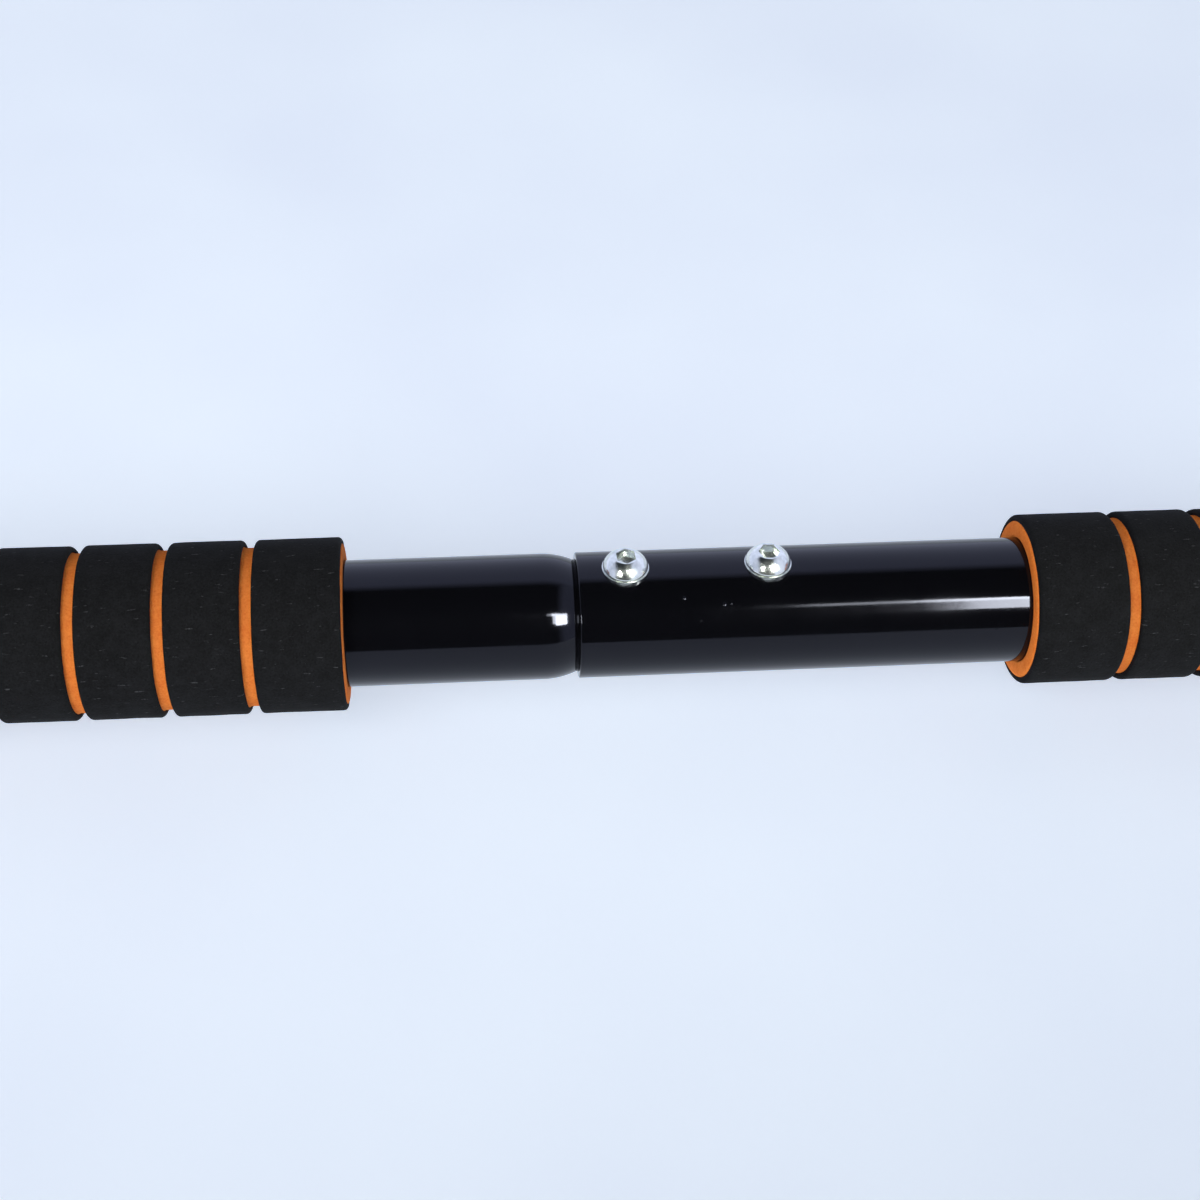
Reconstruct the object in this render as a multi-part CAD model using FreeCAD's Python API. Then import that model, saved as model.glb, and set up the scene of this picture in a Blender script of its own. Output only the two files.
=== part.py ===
import FreeCAD, Part
import math
import os

from FreeCAD import Vector

# A two-piece pull-up bar that screws out between the jambs of a doorway. Millimetres.
# X runs along the bar, +Z is the side of the joint screws' heads, and the origin lies on the bar's
# axis, midway between the two joint screws. Parts of the right end are modelled, and the left end's
# are their mirror images.

# Main tubes and the spigot joint between them
TUBE_OD = 28.6
TUBE_WALL = 1.5
HALF_LENGTH = 330.0  # from the origin to the outer end of each tube
SEAM_X = -26.7  # the right tube's mouth
SEAM_GAP = 0.4
SHOULDER_LENGTH = 7.5
SPIGOT_PLAY = 0.1
SPIGOT_TIP_X = 28.0

# Joint screws, M6 x 10 button head, with saddle washers under the heads and nuts welded inside the spigot
SCREW_SPACING = 32.0
SCREW_D = 5.9
SCREW_HOLE_D = 6.6
SCREW_LENGTH = 10.0
HEAD_D = 10.1
HEAD_HEIGHT = 3.3
HEAD_RIM = 0.6
HEAD_CROWN_D = 5.0
SOCKET_FLATS = 4.0
SOCKET_DEPTH = 2.1
SADDLE_D = 10.5
SADDLE_CREST = 0.3
NUT_FLATS = 10.0
NUT_FOOT = 5.5  # from the bar's axis
NUT_BORE_D = 6.0

# Foam grips: an orange sleeve with a black skin round it, cut into bands by grooves that reach the orange
LEFT_GRIP_X = 78.8  # where each grip's first band starts, from the origin
RIGHT_GRIP_X = 75.1
CORE_OD = 36.6
CORE_OVERHANG = 0.3
BAND_OD = 39.0
GROOVE_FLOOR_D = 35.6
LEFT_FIRST_BAND = 19.2
RIGHT_FIRST_BAND = 20.6
LAST_BAND = 19.2
INNER_BAND = 16.4
INNER_BANDS = 9
GROOVE = 2.5
CORE_ROUND = 0.9
BAND_ROUND = 0.8

# Threaded bush riveted into each tube's outer end
BUSH_DEPTH = 40.0
BUSH_FLANGE_D = 32.0
BUSH_FLANGE = 5.0
THREAD_D = 17.8
THREAD_PLAY = 0.1
RIVETS = 3
RIVET_INSET = 20.0
RIVET_D = 4.0
RIVET_REACH = 4.1
RIVET_HEAD_D = 8.0
RIVET_HEAD_HEIGHT = 1.5

# End screw, its knob and the swivel that carries the foot. Stations are measured outward from the tube's end.
ROD_INNER = -90.0
ROD_CHAMFER = 1.5
KNOB_FRONT = 11.0
KNOB_RIM_FRONT = 19.0
KNOB_BACK = 33.0
KNOB_HUB_D = 30.0
KNOB_D = 48.0
KNOB_LOBES = 8
SCALLOP_R = 11.0
SCALLOP_DEPTH = 3.2
KNOB_ROUND = 2.0
PIN_D = 4.0
PIN_LENGTH = 30.4
PIN_STATION = 15.0
JOURNAL_D = 12.0
JOURNAL_PLAY = 0.1
THRUST_WASHER_D = 26.0
THRUST_WASHER = 1.4
CUP_FRONT = 34.5
CUP_FLOOR = 46.0
RETAINING_WASHER_D = 24.0
RETAINING_WASHER = 1.5
END_BOLT_D = 8.0
END_BOLT_LENGTH = 16.0
END_BOLT_HEAD_D = 14.0
END_BOLT_HEAD = 4.4
END_BOLT_SOCKET = 5.0
TAPPED_RUNOUT = 2.0

# Foot: a pressed steel cup and the rubber pad snapped over its rim
BOSS_D = 26.0
BOSS_END = 38.0
FLARE_D = 40.0
FLARE_END = 44.0
CUP_D = 62.0
CUP_RIM_START = 47.0
CUP_RIM = 3.0
CUP_DISH_EDGE = 49.5
CUP_MOUTH = 54.0
CUP_EDGE_ROUND = 1.5
PAD_LIP = 3.0
PAD_BACK = 49.0
PAD_PLUG_BACK = 50.0
PAD_PLUG_D = 53.6
PAD_CAVITY_D = 29.0
PAD_WEB_BACK = 55.0
PAD_FACE = 62.0
PAD_BEVEL = 2.0
PAD_GROOVE = 1.5
PAD_GROOVE_DEPTH = 1.2
PAD_GROOVE_RADII = (8.0, 13.0, 18.0, 23.0, 28.0)

TUBE_R = TUBE_OD / 2
BORE_R = TUBE_R - TUBE_WALL
SPIGOT_R = BORE_R - SPIGOT_PLAY
SPIGOT_BORE_R = SPIGOT_R - TUBE_WALL
THREAD_R = THREAD_D / 2
JOURNAL_R = JOURNAL_D / 2
HEAD_SEAT = TUBE_R + SADDLE_CREST

ORIGIN = Vector(0, 0, 0)
ALONG = Vector(1, 0, 0)
UP = Vector(0, 0, 1)
EDGE_MATCH = 0.01


def turned(corners):
    """Solid of revolution about X from (x, radius) corners, in order round the half section."""
    points = [Vector(x, 0, r) for x, r in corners]
    section = Part.Face(Part.makePolygon(points + points[:1]))
    return section.revolve(ORIGIN, ALONG, 360)


def revolved(edges, axis):
    """Solid of revolution from the edges of a closed half section in the XZ plane."""
    return Part.Face(Part.Wire(edges)).revolve(ORIGIN, axis, 360)


def line(a, b):
    return Part.LineSegment(a, b).toShape()


def rod(radius, length, base, direction):
    return Part.makeCylinder(radius, length, base, direction)


def rounded(shape, radius, rims):
    """Fillets the circular edges about X whose (x, radius) is in rims."""
    chosen = []
    for edge in shape.Edges:
        curve = edge.Curve
        if not isinstance(curve, Part.Circle):
            continue
        for x, r in rims:
            if abs(curve.Center.x - x) < EDGE_MATCH and abs(curve.Radius - r) < EDGE_MATCH:
                chosen.append(edge)
    return shape.makeFillet(radius, chosen)


def mirrored(shape):
    return shape.mirror(ORIGIN, ALONG)


def about_x(shape, degrees):
    copy = shape.copy()
    copy.rotate(ORIGIN, ALONG, degrees)
    return copy


def hexagon(flats, height, base, direction):
    """Hexagonal prism standing on base, with a flat facing X."""
    reach = flats / 2 / math.cos(math.radians(30))
    corners = []
    for i in range(6):
        angle = math.radians(60 * i + 30)
        corners.append(Vector(reach * math.cos(angle), reach * math.sin(angle), 0))
    prism = Part.Face(Part.makePolygon(corners + corners[:1])).extrude(Vector(0, 0, height))
    prism.Placement = FreeCAD.Placement(base, FreeCAD.Rotation(UP, direction))
    return prism


# ---- main tubes ----

def screw_stations():
    return (-SCREW_SPACING / 2, SCREW_SPACING / 2)


def screw_holes():
    """Drills for the upper walls only."""
    drills = [rod(SCREW_HOLE_D / 2, TUBE_OD, Vector(x, 0, 0), UP) for x in screw_stations()]
    return Part.makeCompound(drills)


def rivet_holes():
    """Radial drills for the right tube's bush, stopping short of the threaded bore."""
    foot = Vector(HALF_LENGTH - RIVET_INSET, 0, TUBE_R - RIVET_REACH)
    drill = rod(RIVET_D / 2, 2 * RIVET_REACH, foot, UP)
    return Part.makeCompound([about_x(drill, 360 / RIVETS * i) for i in range(RIVETS)])


def right_tube():
    tube = turned(
        [(SEAM_X, BORE_R), (SEAM_X, TUBE_R), (HALF_LENGTH, TUBE_R), (HALF_LENGTH, BORE_R)]
    )
    tube = rounded(tube, TUBE_WALL / 5, [(SEAM_X, TUBE_R)])
    return tube.cut(screw_holes()).cut(rivet_holes())


def left_tube():
    """The end that faces the joint is swaged: a round shoulder, then a spigot one wall thinner."""
    drop = TUBE_R - SPIGOT_R
    bend_r = (SHOULDER_LENGTH**2 + drop**2) / (2 * drop)
    turn = math.asin(SHOULDER_LENGTH / bend_r)
    start_x = SEAM_X - SEAM_GAP - SHOULDER_LENGTH
    centre = Vector(start_x, 0, TUBE_R - bend_r)

    def on_bend(radius, share):
        angle = turn * share
        return centre + Vector(radius * math.sin(angle), 0, radius * math.cos(angle))

    def bend(radius):
        return Part.Arc(on_bend(radius, 0), on_bend(radius, 0.5), on_bend(radius, 1)).toShape()

    inner_r = bend_r - TUBE_WALL
    outer_end, inner_end = on_bend(bend_r, 1), on_bend(inner_r, 1)
    bore_start = Vector(outer_end.x, 0, SPIGOT_BORE_R)
    tip_out, tip_in = Vector(SPIGOT_TIP_X, 0, SPIGOT_R), Vector(SPIGOT_TIP_X, 0, SPIGOT_BORE_R)
    end_out, end_in = Vector(-HALF_LENGTH, 0, TUBE_R), Vector(-HALF_LENGTH, 0, BORE_R)
    section = [
        line(end_out, on_bend(bend_r, 0)),
        bend(bend_r),
        line(outer_end, tip_out),
        line(tip_out, tip_in),
        line(tip_in, bore_start),
        line(bore_start, inner_end),
        bend(inner_r),
        line(on_bend(inner_r, 0), end_in),
        line(end_in, end_out),
    ]
    return revolved(section, ALONG).cut(screw_holes()).cut(mirrored(rivet_holes()))


# ---- joint fasteners, drawn at the origin with the tube below, then moved to their stations ----

def joint_screw():
    half, crown = HEAD_D / 2, HEAD_CROWN_D / 2
    top = HEAD_SEAT + HEAD_HEIGHT
    tip = HEAD_SEAT - SCREW_LENGTH
    rim_z = HEAD_SEAT + HEAD_RIM
    rim = Vector(half, 0, rim_z)
    dome_top = Vector(crown, 0, top)
    # The dome is part of a sphere centred on the screw's axis, through the rim and the flat crown's edge.
    centre = Vector(0, 0, (half**2 + rim_z**2 - crown**2 - top**2) / (2 * (rim_z - top)))
    bisector = ((rim - centre) + (dome_top - centre)).normalize()
    middle = centre + bisector * rim.distanceToPoint(centre)
    section = [
        line(Vector(0, 0, HEAD_SEAT), Vector(half, 0, HEAD_SEAT)),
        line(Vector(half, 0, HEAD_SEAT), rim),
        Part.Arc(rim, middle, dome_top).toShape(),
        line(dome_top, Vector(0, 0, top)),
        line(Vector(0, 0, top), Vector(0, 0, HEAD_SEAT)),
    ]
    head = revolved(section, UP)
    socket = hexagon(SOCKET_FLATS, SOCKET_DEPTH + 1, Vector(0, 0, top - SOCKET_DEPTH), UP)
    shank = rod(SCREW_D / 2, SCREW_LENGTH, Vector(0, 0, tip), UP)
    chamfer = SCREW_D / 8
    rim_edge = [e for e in shank.Edges if abs(e.CenterOfMass.z - tip) < EDGE_MATCH]
    return head.cut(socket).fuse(shank.makeChamfer(chamfer, rim_edge)).removeSplitter()


def saddle_washer():
    blank = rod(SADDLE_D / 2, TUBE_R, Vector(0, 0, HEAD_SEAT - TUBE_R), UP)
    tube = rod(TUBE_R, 2 * SADDLE_D, Vector(-SADDLE_D, 0, 0), ALONG)
    hole = rod(SCREW_HOLE_D / 2, 2 * TUBE_R, ORIGIN, UP)
    return blank.cut(tube).cut(hole)


def weld_nut():
    """Hexagonal nut whose upper end is curved to lie against the spigot's bore."""
    block = hexagon(NUT_FLATS, SPIGOT_BORE_R, Vector(0, 0, NUT_FOOT), UP)
    bore = rod(SPIGOT_BORE_R, 2 * NUT_FLATS, Vector(-NUT_FLATS, 0, 0), ALONG)
    thread = rod(NUT_BORE_D / 2, 2 * SPIGOT_BORE_R, ORIGIN, UP)
    return block.common(bore).cut(thread)


def at_station(shape, x):
    return shape.translated(Vector(x, 0, 0))


# ---- grips, drawn for the right side from the first band's start ----

def band_lengths(first_band):
    return [first_band] + [INNER_BAND] * INNER_BANDS + [LAST_BAND]


def grip_core(start, first_band):
    grip_length = sum(band_lengths(first_band)) + (INNER_BANDS + 1) * GROOVE
    x0, x1 = start - CORE_OVERHANG, start + grip_length + CORE_OVERHANG
    outer, floor = CORE_OD / 2, GROOVE_FLOOR_D / 2
    section = [(x0, TUBE_R), (x0, outer)]
    x = start
    for length in band_lengths(first_band)[:-1]:
        x += length
        section += [(x, outer), (x, floor), (x + GROOVE, floor), (x + GROOVE, outer)]
        x += GROOVE
    section += [(x1, outer), (x1, TUBE_R)]
    return rounded(turned(section), CORE_ROUND, [(x0, outer), (x1, outer)])


def grip_bands(start, first_band):
    inner, outer = CORE_OD / 2, BAND_OD / 2
    bands = []
    x = start
    for length in band_lengths(first_band):
        band = turned([(x, inner), (x, outer), (x + length, outer), (x + length, inner)])
        bands.append(rounded(band, BAND_ROUND, [(x, outer), (x + length, outer)]))
        x += length + GROOVE
    return Part.makeCompound(bands)


# ---- right end ----

def station(distance):
    """X of a distance measured outward from the right tube's end."""
    return HALF_LENGTH + distance


def end_bush():
    inner, mouth, face = station(-BUSH_DEPTH), station(0), station(BUSH_FLANGE)
    bore, flange = THREAD_R + THREAD_PLAY, BUSH_FLANGE_D / 2
    bush = turned(
        [(inner, bore), (inner, BORE_R), (mouth, BORE_R), (mouth, flange), (face, flange), (face, bore)]
    )
    bush = rounded(bush, BUSH_FLANGE / 5, [(face, flange), (mouth, flange)])
    return bush.cut(rivet_holes())


def bush_rivets():
    x = HALF_LENGTH - RIVET_INSET
    head_r = RIVET_HEAD_D / 2
    dome_r = (head_r**2 + RIVET_HEAD_HEIGHT**2) / (2 * RIVET_HEAD_HEIGHT)
    top = TUBE_R + RIVET_HEAD_HEIGHT
    ball = Part.makeSphere(dome_r, Vector(x, 0, top - dome_r))
    column = rod(head_r, RIVET_HEAD_HEIGHT * 2, Vector(x, 0, TUBE_R - RIVET_HEAD_HEIGHT), UP)
    tube = rod(TUBE_R, 2 * RIVET_INSET, Vector(x - RIVET_INSET, 0, 0), ALONG)
    shank_length = RIVET_REACH + RIVET_HEAD_HEIGHT / 2
    shank = rod(RIVET_D / 2, shank_length, Vector(x, 0, TUBE_R - RIVET_REACH), UP)
    rivet = ball.common(column).cut(tube).fuse(shank).removeSplitter()
    return Part.makeCompound([about_x(rivet, 360 / RIVETS * i) for i in range(RIVETS)])


def journal_end():
    """Shoulder that the retaining washer seats on, just proud of the cup's floor."""
    return station(CUP_FLOOR + JOURNAL_PLAY)


def pin_hole():
    return rod(PIN_D / 2, 2 * KNOB_D, Vector(station(PIN_STATION), 0, -KNOB_D), UP)


def end_screw():
    shoulder, tip = station(KNOB_BACK), journal_end()
    tapped = tip - END_BOLT_LENGTH - TAPPED_RUNOUT
    screw = turned(
        [
            (station(ROD_INNER), 0),
            (station(ROD_INNER), THREAD_R - ROD_CHAMFER),
            (station(ROD_INNER + ROD_CHAMFER), THREAD_R),
            (shoulder, THREAD_R),
            (shoulder, JOURNAL_R),
            (tip, JOURNAL_R),
            (tip, END_BOLT_D / 2),
            (tapped, END_BOLT_D / 2),
            (tapped - TAPPED_RUNOUT, 0),
        ]
    )
    return screw.cut(pin_hole())


def knob():
    front, rim, back = station(KNOB_FRONT), station(KNOB_RIM_FRONT), station(KNOB_BACK)
    wheel = rod(KNOB_D / 2, back - rim, Vector(rim, 0, 0), ALONG)
    scallop_centre = KNOB_D / 2 - SCALLOP_DEPTH + SCALLOP_R
    cutter = rod(SCALLOP_R, back - rim, Vector(rim, 0, scallop_centre), ALONG)
    scallops = [about_x(cutter, 360 / KNOB_LOBES * (i + 0.5)) for i in range(KNOB_LOBES)]
    wheel = wheel.cut(Part.makeCompound(scallops))
    face_edges = [e for e in wheel.Edges if e.BoundBox.XLength < EDGE_MATCH]
    wheel = wheel.makeFillet(KNOB_ROUND, face_edges)
    hub = rod(KNOB_HUB_D / 2, back - front, Vector(front, 0, 0), ALONG)
    hub = rounded(hub, KNOB_ROUND / 2, [(front, KNOB_HUB_D / 2)])
    shaft = rod(THREAD_R, back - front, Vector(front, 0, 0), ALONG)
    return wheel.fuse(hub).cut(shaft).cut(pin_hole()).removeSplitter()


def knob_pin():
    """Spring pin through the knob's hub and the screw, a hollow rolled tube just proud of the hub."""
    base = Vector(station(PIN_STATION), 0, -PIN_LENGTH / 2)
    return rod(PIN_D / 2, PIN_LENGTH, base, UP).cut(rod(PIN_D / 4, PIN_LENGTH, base, UP))


def thrust_washer():
    a, b = station(KNOB_BACK), station(KNOB_BACK + THRUST_WASHER)
    inner, outer = JOURNAL_R + JOURNAL_PLAY, THRUST_WASHER_D / 2
    return turned([(a, inner), (a, outer), (b, outer), (b, inner)])


def foot_washer():
    a = journal_end()
    b = a + RETAINING_WASHER
    inner, outer = END_BOLT_D / 2 + JOURNAL_PLAY, RETAINING_WASHER_D / 2
    washer = turned([(a, inner), (a, outer), (b, outer), (b, inner)])
    return rounded(washer, RETAINING_WASHER / 4, [(b, outer)])


def foot_screw():
    seat = journal_end() + RETAINING_WASHER
    top = seat + END_BOLT_HEAD
    head = rod(END_BOLT_HEAD_D / 2, END_BOLT_HEAD, Vector(seat, 0, 0), ALONG)
    head = rounded(head, END_BOLT_HEAD / 3, [(top, END_BOLT_HEAD_D / 2)])
    depth = END_BOLT_HEAD / 2
    socket = hexagon(END_BOLT_SOCKET, depth, Vector(top - depth, 0, 0), ALONG)
    shank = rod(END_BOLT_D / 2, END_BOLT_LENGTH, Vector(seat - END_BOLT_LENGTH, 0, 0), ALONG)
    return head.cut(socket).fuse(shank).removeSplitter()


def foot_cup():
    front, floor, mouth = station(CUP_FRONT), station(CUP_FLOOR), station(CUP_MOUTH)
    rim_start = station(CUP_RIM_START)
    boss, rim = BOSS_D / 2, CUP_D / 2
    bore = JOURNAL_R + JOURNAL_PLAY
    cup = turned(
        [
            (front, bore),
            (front, boss),
            (station(BOSS_END), boss),
            (station(FLARE_END), FLARE_D / 2),
            (rim_start, rim),
            (mouth, rim),
            (mouth, rim - CUP_RIM),
            (station(CUP_DISH_EDGE), rim - CUP_RIM - 1),
            (floor, boss + 0.5),
            (floor, bore),
        ]
    )
    return rounded(cup, CUP_EDGE_ROUND, [(rim_start, rim), (front, boss)])


def foot_pad():
    lip_r = CUP_D / 2
    outer = lip_r + PAD_LIP
    plug_r = PAD_PLUG_D / 2
    cavity = PAD_CAVITY_D / 2
    back, plug, mouth = station(PAD_BACK), station(PAD_PLUG_BACK), station(CUP_MOUTH)
    web, face = station(PAD_WEB_BACK), station(PAD_FACE)
    floor = face - PAD_GROOVE_DEPTH
    tread = []
    for radius in PAD_GROOVE_RADII:
        a, b = radius - PAD_GROOVE / 2, radius + PAD_GROOVE / 2
        tread += [(face, a), (floor, a), (floor, b), (face, b)]
    return turned(
        [(web, 0), (face, 0)]
        + tread
        + [
            (face, outer - PAD_BEVEL),
            (face - PAD_BEVEL, outer),
            (back + PAD_BEVEL, outer),
            (back, outer - PAD_BEVEL / 2),
            (back, lip_r),
            (mouth, lip_r),
            (mouth, plug_r),
            (plug, plug_r),
            (plug, cavity),
            (web, cavity),
        ]
    )


def build():
    parts = {"left_tube": left_tube(), "right_tube": right_tube()}
    screw, washer, nut = joint_screw(), saddle_washer(), weld_nut()
    for side, x in zip(("left", "right"), screw_stations()):
        parts[side + "_joint_screw"] = at_station(screw, x)
        parts[side + "_head_washer"] = at_station(washer, x)
        parts[side + "_weld_nut"] = at_station(nut, x)
    for maker in (grip_core, grip_bands):
        parts["right_" + maker.__name__] = maker(RIGHT_GRIP_X, RIGHT_FIRST_BAND)
        parts["left_" + maker.__name__] = mirrored(maker(LEFT_GRIP_X, LEFT_FIRST_BAND))
    for maker in (
        end_bush, bush_rivets, end_screw, knob, knob_pin,
        thrust_washer, foot_washer, foot_screw, foot_cup, foot_pad,
    ):
        shape = maker()
        parts["right_" + maker.__name__] = shape
        parts["left_" + maker.__name__] = mirrored(shape)
    return parts


os.makedirs("parts", exist_ok=True)
for name, shape in sorted(build().items()):
    solids = shape.Solids
    if not solids or not all(s.isValid() and s.Volume > 0 for s in solids):
        raise RuntimeError(f"{name} isn't made of valid solids")
    shape.exportStep(f"parts/{name}.step")
    print(f"{name}: {len(solids)} solid(s), {shape.Volume / 1000:.2f} cm3")
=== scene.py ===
import math

import bmesh
import bpy
from mathutils import Matrix, Vector, noise


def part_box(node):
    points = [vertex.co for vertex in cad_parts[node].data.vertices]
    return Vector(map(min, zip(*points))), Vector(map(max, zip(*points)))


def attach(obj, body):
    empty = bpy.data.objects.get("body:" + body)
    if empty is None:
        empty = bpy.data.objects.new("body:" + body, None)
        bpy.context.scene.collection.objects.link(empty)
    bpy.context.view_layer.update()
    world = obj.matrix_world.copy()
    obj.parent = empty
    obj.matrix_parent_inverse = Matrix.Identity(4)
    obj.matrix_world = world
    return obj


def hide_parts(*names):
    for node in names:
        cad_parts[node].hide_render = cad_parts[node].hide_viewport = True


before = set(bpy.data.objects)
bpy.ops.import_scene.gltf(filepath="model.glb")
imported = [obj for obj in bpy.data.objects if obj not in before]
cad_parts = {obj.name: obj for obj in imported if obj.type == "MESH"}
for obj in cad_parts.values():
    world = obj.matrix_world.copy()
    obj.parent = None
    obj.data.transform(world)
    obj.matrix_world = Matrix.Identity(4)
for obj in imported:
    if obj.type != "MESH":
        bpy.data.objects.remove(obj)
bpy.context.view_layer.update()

# The looks of a two-piece doorway pull-up bar. Metres, in the frame's own axes: X along the bar and
# +Z the side of the joint screws' heads. Most pieces are turned about X, so their outlines are lists
# of (x, radius) corners. The two ends are built from distances outward along the bar.

MM = 0.001
SIDES = {"left": -1, "right": 1}
FINE = 192  # points round a large turned piece
SMALL = 96  # points round a small one

SHARP_DEGREES = 38.0  # edges that turn more than this are shaded sharp
SAME_POINT = 1e-7

# Radii of edges that the CAD solids leave sharp
TUBE_EDGE = 0.35 * MM
SMALL_EDGE = 0.15 * MM

RUNNING_PLAY = 0.1 * MM  # between pieces that slide or turn in each other
PRESSED_PLAY = 0.02 * MM  # between pieces that are pressed together

THREAD_LEAD = 4 * MM
THREAD_DEPTH = 2.1 * MM
KNOB_LOBES = 8
SCALLOP_R = 11 * MM
SCALLOP_DEPTH = 3.2 * MM
JOURNAL_R = 6 * MM
JOURNAL_HOLE_R = 6.1 * MM
SOCKET_TURN = {"left": math.radians(3.75), "right": math.radians(26.25)}  # where each screw stopped


# ---- sizes read from the frame ----

BOXES = {name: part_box(name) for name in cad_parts}


def reach(name):
    """A turned node's largest radius about X."""
    return BOXES[name][1].z


def nearest(name):
    """The node's end nearest the bar's middle, as a distance from it."""
    low, high = BOXES[name]
    return min(abs(low.x), abs(high.x))


def furthest(name):
    low, high = BOXES[name]
    return max(abs(low.x), abs(high.x))


TUBE_R = reach("right_tube")
TUBE_WALL = 1.5 * MM
BORE_R = TUBE_R - TUBE_WALL


# ---- outlines ----

def rounded(corners, steps=5):
    """An outline through (x, radius, rounding) corners, with each corner replaced by an arc."""
    points = []
    count = len(corners)
    for i, (x, r, rounding) in enumerate(corners):
        here = Vector((x, r))
        if rounding <= 0:
            points.append(here)
            continue
        before = (Vector(corners[i - 1][:2]) - here).normalized()
        after = (Vector(corners[(i + 1) % count][:2]) - here).normalized()
        half_angle = before.angle(after) / 2
        centre = here + (before + after).normalized() * rounding / math.sin(half_angle)
        start = (here + before * rounding / math.tan(half_angle) - centre).normalized()
        end = (here + after * rounding / math.tan(half_angle) - centre).normalized()
        for k in range(steps + 1):
            points.append(centre + start.slerp(end, k / steps) * rounding)
    return points


def arc(centre, radius, first, last, steps):
    """Points on a circle in the half plane, angles in degrees from the X direction."""
    points = []
    for k in range(steps + 1):
        angle = math.radians(first + (last - first) * k / steps)
        points.append(Vector((centre[0] + radius * math.cos(angle), centre[1] + radius * math.sin(angle))))
    return points


def hexagon_r(flats, angle):
    """Distance from a hexagon's centre to its side, in the direction of an angle."""
    sector = math.pi / 3
    return flats / 2 / math.cos((angle + sector / 2) % sector - sector / 2)


# ---- meshes ----

def finished(name, bm):
    """A smooth-shaded object from a closed bmesh."""
    bmesh.ops.remove_doubles(bm, verts=bm.verts, dist=SAME_POINT)
    bmesh.ops.recalc_face_normals(bm, faces=bm.faces)
    mesh = bpy.data.meshes.new(name)
    bm.to_mesh(mesh)
    bm.free()
    mesh.polygons.foreach_set("use_smooth", [True] * len(mesh.polygons))
    mesh.set_sharp_from_angle(angle=math.radians(SHARP_DEGREES))
    piece = bpy.data.objects.new(name, mesh)
    bpy.context.scene.collection.objects.link(piece)
    return piece


def ring(bm, x, radius, segments):
    """A loop of vertices round X. The radius is a number or a function of the angle from +Z."""
    turn = 2 * math.pi / segments
    loop = []
    for i in range(segments):
        r = radius(i * turn) if callable(radius) else radius
        loop.append(bm.verts.new((x, r * math.sin(i * turn), r * math.cos(i * turn))))
    return loop


def bridge(bm, first, second):
    """Faces between two loops. A loop of one vertex is a pole."""
    count = max(len(first), len(second))
    for i in range(count):
        j = (i + 1) % count
        if len(first) == 1:
            bm.faces.new((first[0], second[j], second[i]))
        elif len(second) == 1:
            bm.faces.new((first[i], first[j], second[0]))
        else:
            bm.faces.new((first[i], first[j], second[j], second[i]))


def turn_shell(bm, outline, segments):
    """Adds one closed shell to bm: the outline, closed on itself or through the axis, turned about X."""
    loops = []
    for x, r in outline:
        on_axis = not callable(r) and r < SAME_POINT
        loops.append([bm.verts.new((x, 0, 0))] if on_axis else ring(bm, x, r, segments))
    for first, second in zip(loops, loops[1:] + loops[:1]):
        if len(first) > 1 or len(second) > 1:
            bridge(bm, first, second)


def turned(name, outline, segments=FINE):
    bm = bmesh.new()
    turn_shell(bm, outline, segments)
    return finished(name, bm)


def mirrored(outline, sign):
    """An outline drawn with x outward from the middle, for the side that the sign says."""
    return [(sign * x, r) for x, r in outline]


def standing(x, seat):
    """The matrix that turns what is built along +X to point up, from a seat height at x."""
    return Matrix.Translation((x, 0, seat)) @ Matrix.Rotation(-math.pi / 2, 4, "Y")


# ---- material nodes ----

def node(tree, kind, inputs=None, **settings):
    """Adds a shader node. Each input is a value, or another node's output to link."""
    made = tree.nodes.new("ShaderNode" + kind)
    for key, value in settings.items():
        setattr(made, key, value)
    for key, value in (inputs or {}).items():
        if isinstance(value, bpy.types.NodeSocket):
            tree.links.new(value, made.inputs[key])
        else:
            made.inputs[key].default_value = value
    return made


def math_node(tree, operation, a, b=0.0):
    return node(tree, "Math", {0: a, 1: b}, operation=operation).outputs[0]


def remap(tree, value, low, high, to_low=0.0, to_high=1.0):
    made = node(tree, "MapRange", {0: value, 1: low, 2: high, 3: to_low, 4: to_high})
    return made.outputs[0]


def blend(tree, share, a, b):
    """Colour a where share is 0, and b where it is 1."""
    return node(tree, "Mix", {0: share, 6: a, 7: b}, data_type="RGBA").outputs[2]


def grain(tree, where, scale, detail, roughness=0.55):
    """Noise. The scale is the number of features in a metre."""
    inputs = {"Vector": where, "Scale": scale, "Detail": detail, "Roughness": roughness}
    return node(tree, "TexNoise", inputs).outputs[0]


def cells(tree, where, scale):
    """Voronoi cells: (distance from the centre, a random number for each cell)."""
    made = node(tree, "TexVoronoi", {"Vector": where, "Scale": scale})
    random = node(tree, "SeparateColor", {0: made.outputs["Color"]}).outputs[0]
    return made.outputs["Distance"], random


def specks(tree, where, scale, share, size):
    """1 inside a few scattered spots and 0 elsewhere. share is the part of the cells that has one."""
    distance, random = cells(tree, where, scale)
    inside = remap(tree, distance, size, size * 0.5)
    chosen = math_node(tree, "LESS_THAN", random, share)
    return math_node(tree, "MULTIPLY", inside, chosen)


def rgb(red, green, blue):
    return (red, green, blue, 1.0)


def material(name, color, roughness, metallic=0.0, specular=0.5):
    """(material, its tree, its Principled node, object coordinates)"""
    made = bpy.data.materials.new(name)
    made.use_nodes = True
    made.diffuse_color = color
    tree = made.node_tree
    shader = tree.nodes["Principled BSDF"]
    shader.inputs["Base Color"].default_value = color
    shader.inputs["Roughness"].default_value = roughness
    shader.inputs["Metallic"].default_value = metallic
    shader.inputs["Specular IOR Level"].default_value = specular
    where = node(tree, "TexCoord").outputs["Object"]
    return made, tree, shader, where


def link(tree, value, shader, socket):
    tree.links.new(value, shader.inputs[socket])


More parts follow.
